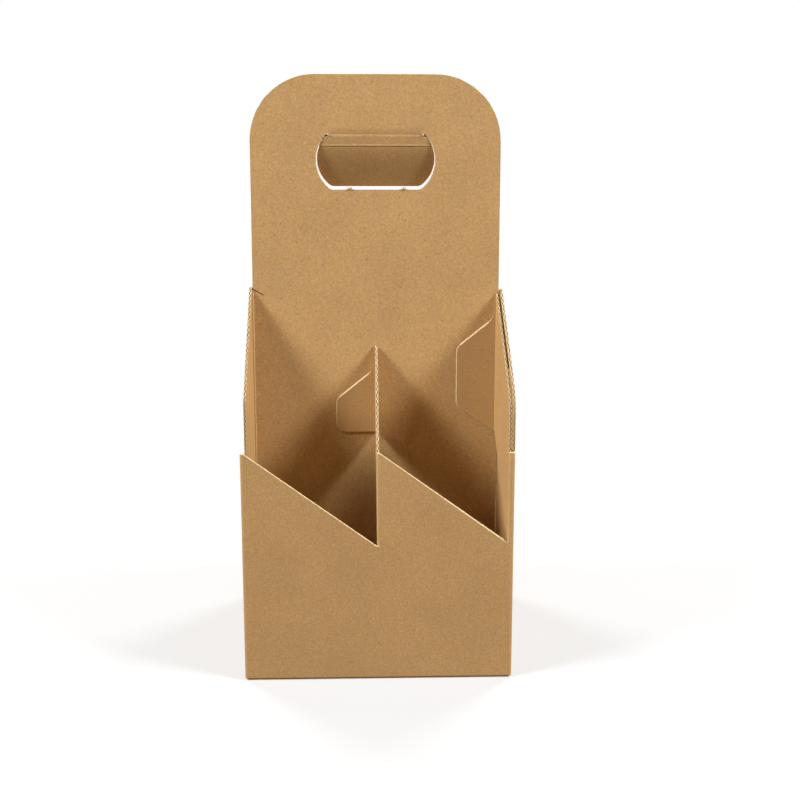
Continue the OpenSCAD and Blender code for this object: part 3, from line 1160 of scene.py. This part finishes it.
@dataclass
class Studio:
    """White sweep, soft lamps and the camera."""

    lens_px: float = 1124.2
    camera_at: Vector = place_mm(-5.2, -580.7, 232.8)
    yaw: float = math.radians(1.73)
    pitch: float = math.radians(10.36)
    sensor_mm: float = 36.0
    clip_near: float = 0.01
    floor_half: float = 3.0
    # Light from above and from below, which blend over this height of a unit direction
    sky_light: float = 0.2
    ground_light: float = 0.04
    blend_z: float = 0.5
    # The room's walls and the sheet itself warm the light that reaches the shadows
    room_tint: tuple[float, float, float, float] = (1.0, 0.88, 0.75, 1.0)
    lamp_watts: float = 58.5
    lamp_size: float = 0.6
    lamp_distance: float = 2.2
    lamp_side: float = math.radians(65)
    # Weaker lamps behind, which keep the rear panel out of the dark
    back_watts: float = 36.0
    back_side: float = math.radians(142)
    lamp_height: float = math.radians(37)
    lamp_aim: Vector = place_mm(0, 0, 150)

    def build(self) -> None:
        """Builds the whole set."""
        self.add_floor()
        self.add_world()
        for side, name in ((-1, "left"), (1, "right")):
            self.add_lamp("lamp_" + name, side * self.lamp_side, self.lamp_watts)
            self.add_lamp("lamp_back_" + name, side * self.back_side, self.back_watts)
        self.add_camera()
        bpy.context.scene.view_settings.view_transform = "Standard"

    def add_floor(self) -> None:
        """Adds the floor, which runs on to the white of the room."""
        bm = bmesh.new()
        bmesh.ops.create_grid(bm, x_segments=2, y_segments=2, size=self.floor_half)
        floor = add_piece("floor", bm, [PaleFloor().build()])

    def add_world(self) -> None:
        """Adds light from all round, stronger from above and warmed by the room's tint, which the camera
        sees as white.
        """
        world = bpy.data.worlds.new("white_room")
        world.use_nodes = True
        tree = world.node_tree
        tree.nodes.clear()
        path = add_node(tree, "ShaderNodeLightPath")
        seen = calculate(tree, "MAXIMUM", path.outputs["Is Camera Ray"], path.outputs["Is Glossy Ray"])
        clear = calculate(tree, "MAXIMUM", seen, path.outputs["Is Transmission Ray"])
        towards = add_node(tree, "ShaderNodeTexCoord").outputs["Generated"]
        level = add_node(tree, "ShaderNodeSeparateXYZ", {"Vector": towards}).outputs["Z"]
        room = ramp(tree, level, -self.blend_z, self.blend_z, self.ground_light, self.sky_light)
        strength = ramp(tree, clear, 0.0, 1.0, room)
        tint = mix(tree, clear, self.room_tint, WHITE)
        light = add_node(tree, "ShaderNodeBackground", {"Color": tint, "Strength": strength})
        add_node(tree, "ShaderNodeOutputWorld", {"Surface": light})
        bpy.context.scene.world = world

    def add_lamp(self, name: str, side: float, watts: float) -> None:
        """Adds one soft lamp that looks at the box.

        Args:
            name: Name of the lamp.
            side: Its angle from the camera's side of the box, to the right.
            watts: Its power.
        """
        data = bpy.data.lights.new(name, "AREA")
        data.energy = watts
        data.size = self.lamp_size
        lamp = bpy.data.objects.new(name, data)
        level = math.cos(self.lamp_height)
        towards = Vector((math.sin(side) * level, -math.cos(side) * level, math.sin(self.lamp_height)))
        lamp.location = self.lamp_aim + towards * self.lamp_distance
        lamp.rotation_euler = (-towards).to_track_quat("-Z", "Y").to_euler()
        bpy.context.scene.collection.objects.link(lamp)

    def add_camera(self) -> None:
        """Adds the camera at the photograph's viewing angle."""
        data = bpy.data.cameras.new("camera")
        data.sensor_width = self.sensor_mm
        data.lens = self.lens_px / IMAGE_PX * self.sensor_mm
        data.clip_start = self.clip_near
        camera = bpy.data.objects.new("camera", data)
        camera.location = self.camera_at
        turn = Matrix.Rotation(-self.yaw, 4, "Z") @ Matrix.Rotation(math.pi / 2 - self.pitch, 4, "X")
        camera.rotation_euler = turn.to_euler()
        bpy.context.scene.collection.objects.link(camera)
        bpy.context.scene.camera = camera


def main() -> None:
    """Loads the frame, dresses its pieces and sets the studio up."""
    logging.basicConfig(level=logging.INFO, format="%(name)s: %(message)s")
    noise.seed_set(NOISE_SEED)
    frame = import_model()
    finishes = Finishes(
        # Brown kraft liner: matt, cloudy and speckled tan on every flat face
        liner=KraftLiner().build(),
        # Board edge that the rule crushed shut: a mottled band
        cut=CutFibre("crushed_board_edge", "#cdae7c", "#9c7748").build(),
        # Liner fibre bared by the cut: a thin pale line along every edge
        rim=CutFibre("bared_liner_fibre", "#e4d2ac", "#cdb185").build(),
        # Hollow between the flutes, also used in the slit and the nicks: painted shade in deep brown
        channel=CutFibre("flute_hollow_painted_shade", "#8a6238", "#543819").build(),
        # Fluting paper: pale waves in that shade
        medium=CutFibre("flute_paper", "#ecd6b0", "#d2b184").build(),
    )
    flutes = Flutes(finishes)
    boards = (
        CarrierBoard("carrier", "carrier", finishes, creases=(262.5 * MM,)),
        FlapBoard("flap_strip", "strip", finishes, crease_top=261.5 * MM, rim_top=261.25 * MM,
                  spread=1.0125, bulge=0.6, fold_axis_limit=0.0, shoulder_z=260.8 * MM),
        FlapBoard("handle_flap", "flap", finishes, crease_top=256.5 * MM, rim_top=256.2 * MM,
                  spread=1.006, shift=0.1 * MM, bow=0.32 * MM, stretch=1.005),
    )
    for board in boards:
        board.build(frame["nodes"])
        if board.bands:
            flutes.build(board.node + "_flutes", board.body, board.bands)
    HandHole(finishes).build()
    LeftFold(finishes).build()
    GlueLine(finishes).build()
    Studio().build()


if __name__ == "__main__":
    main()
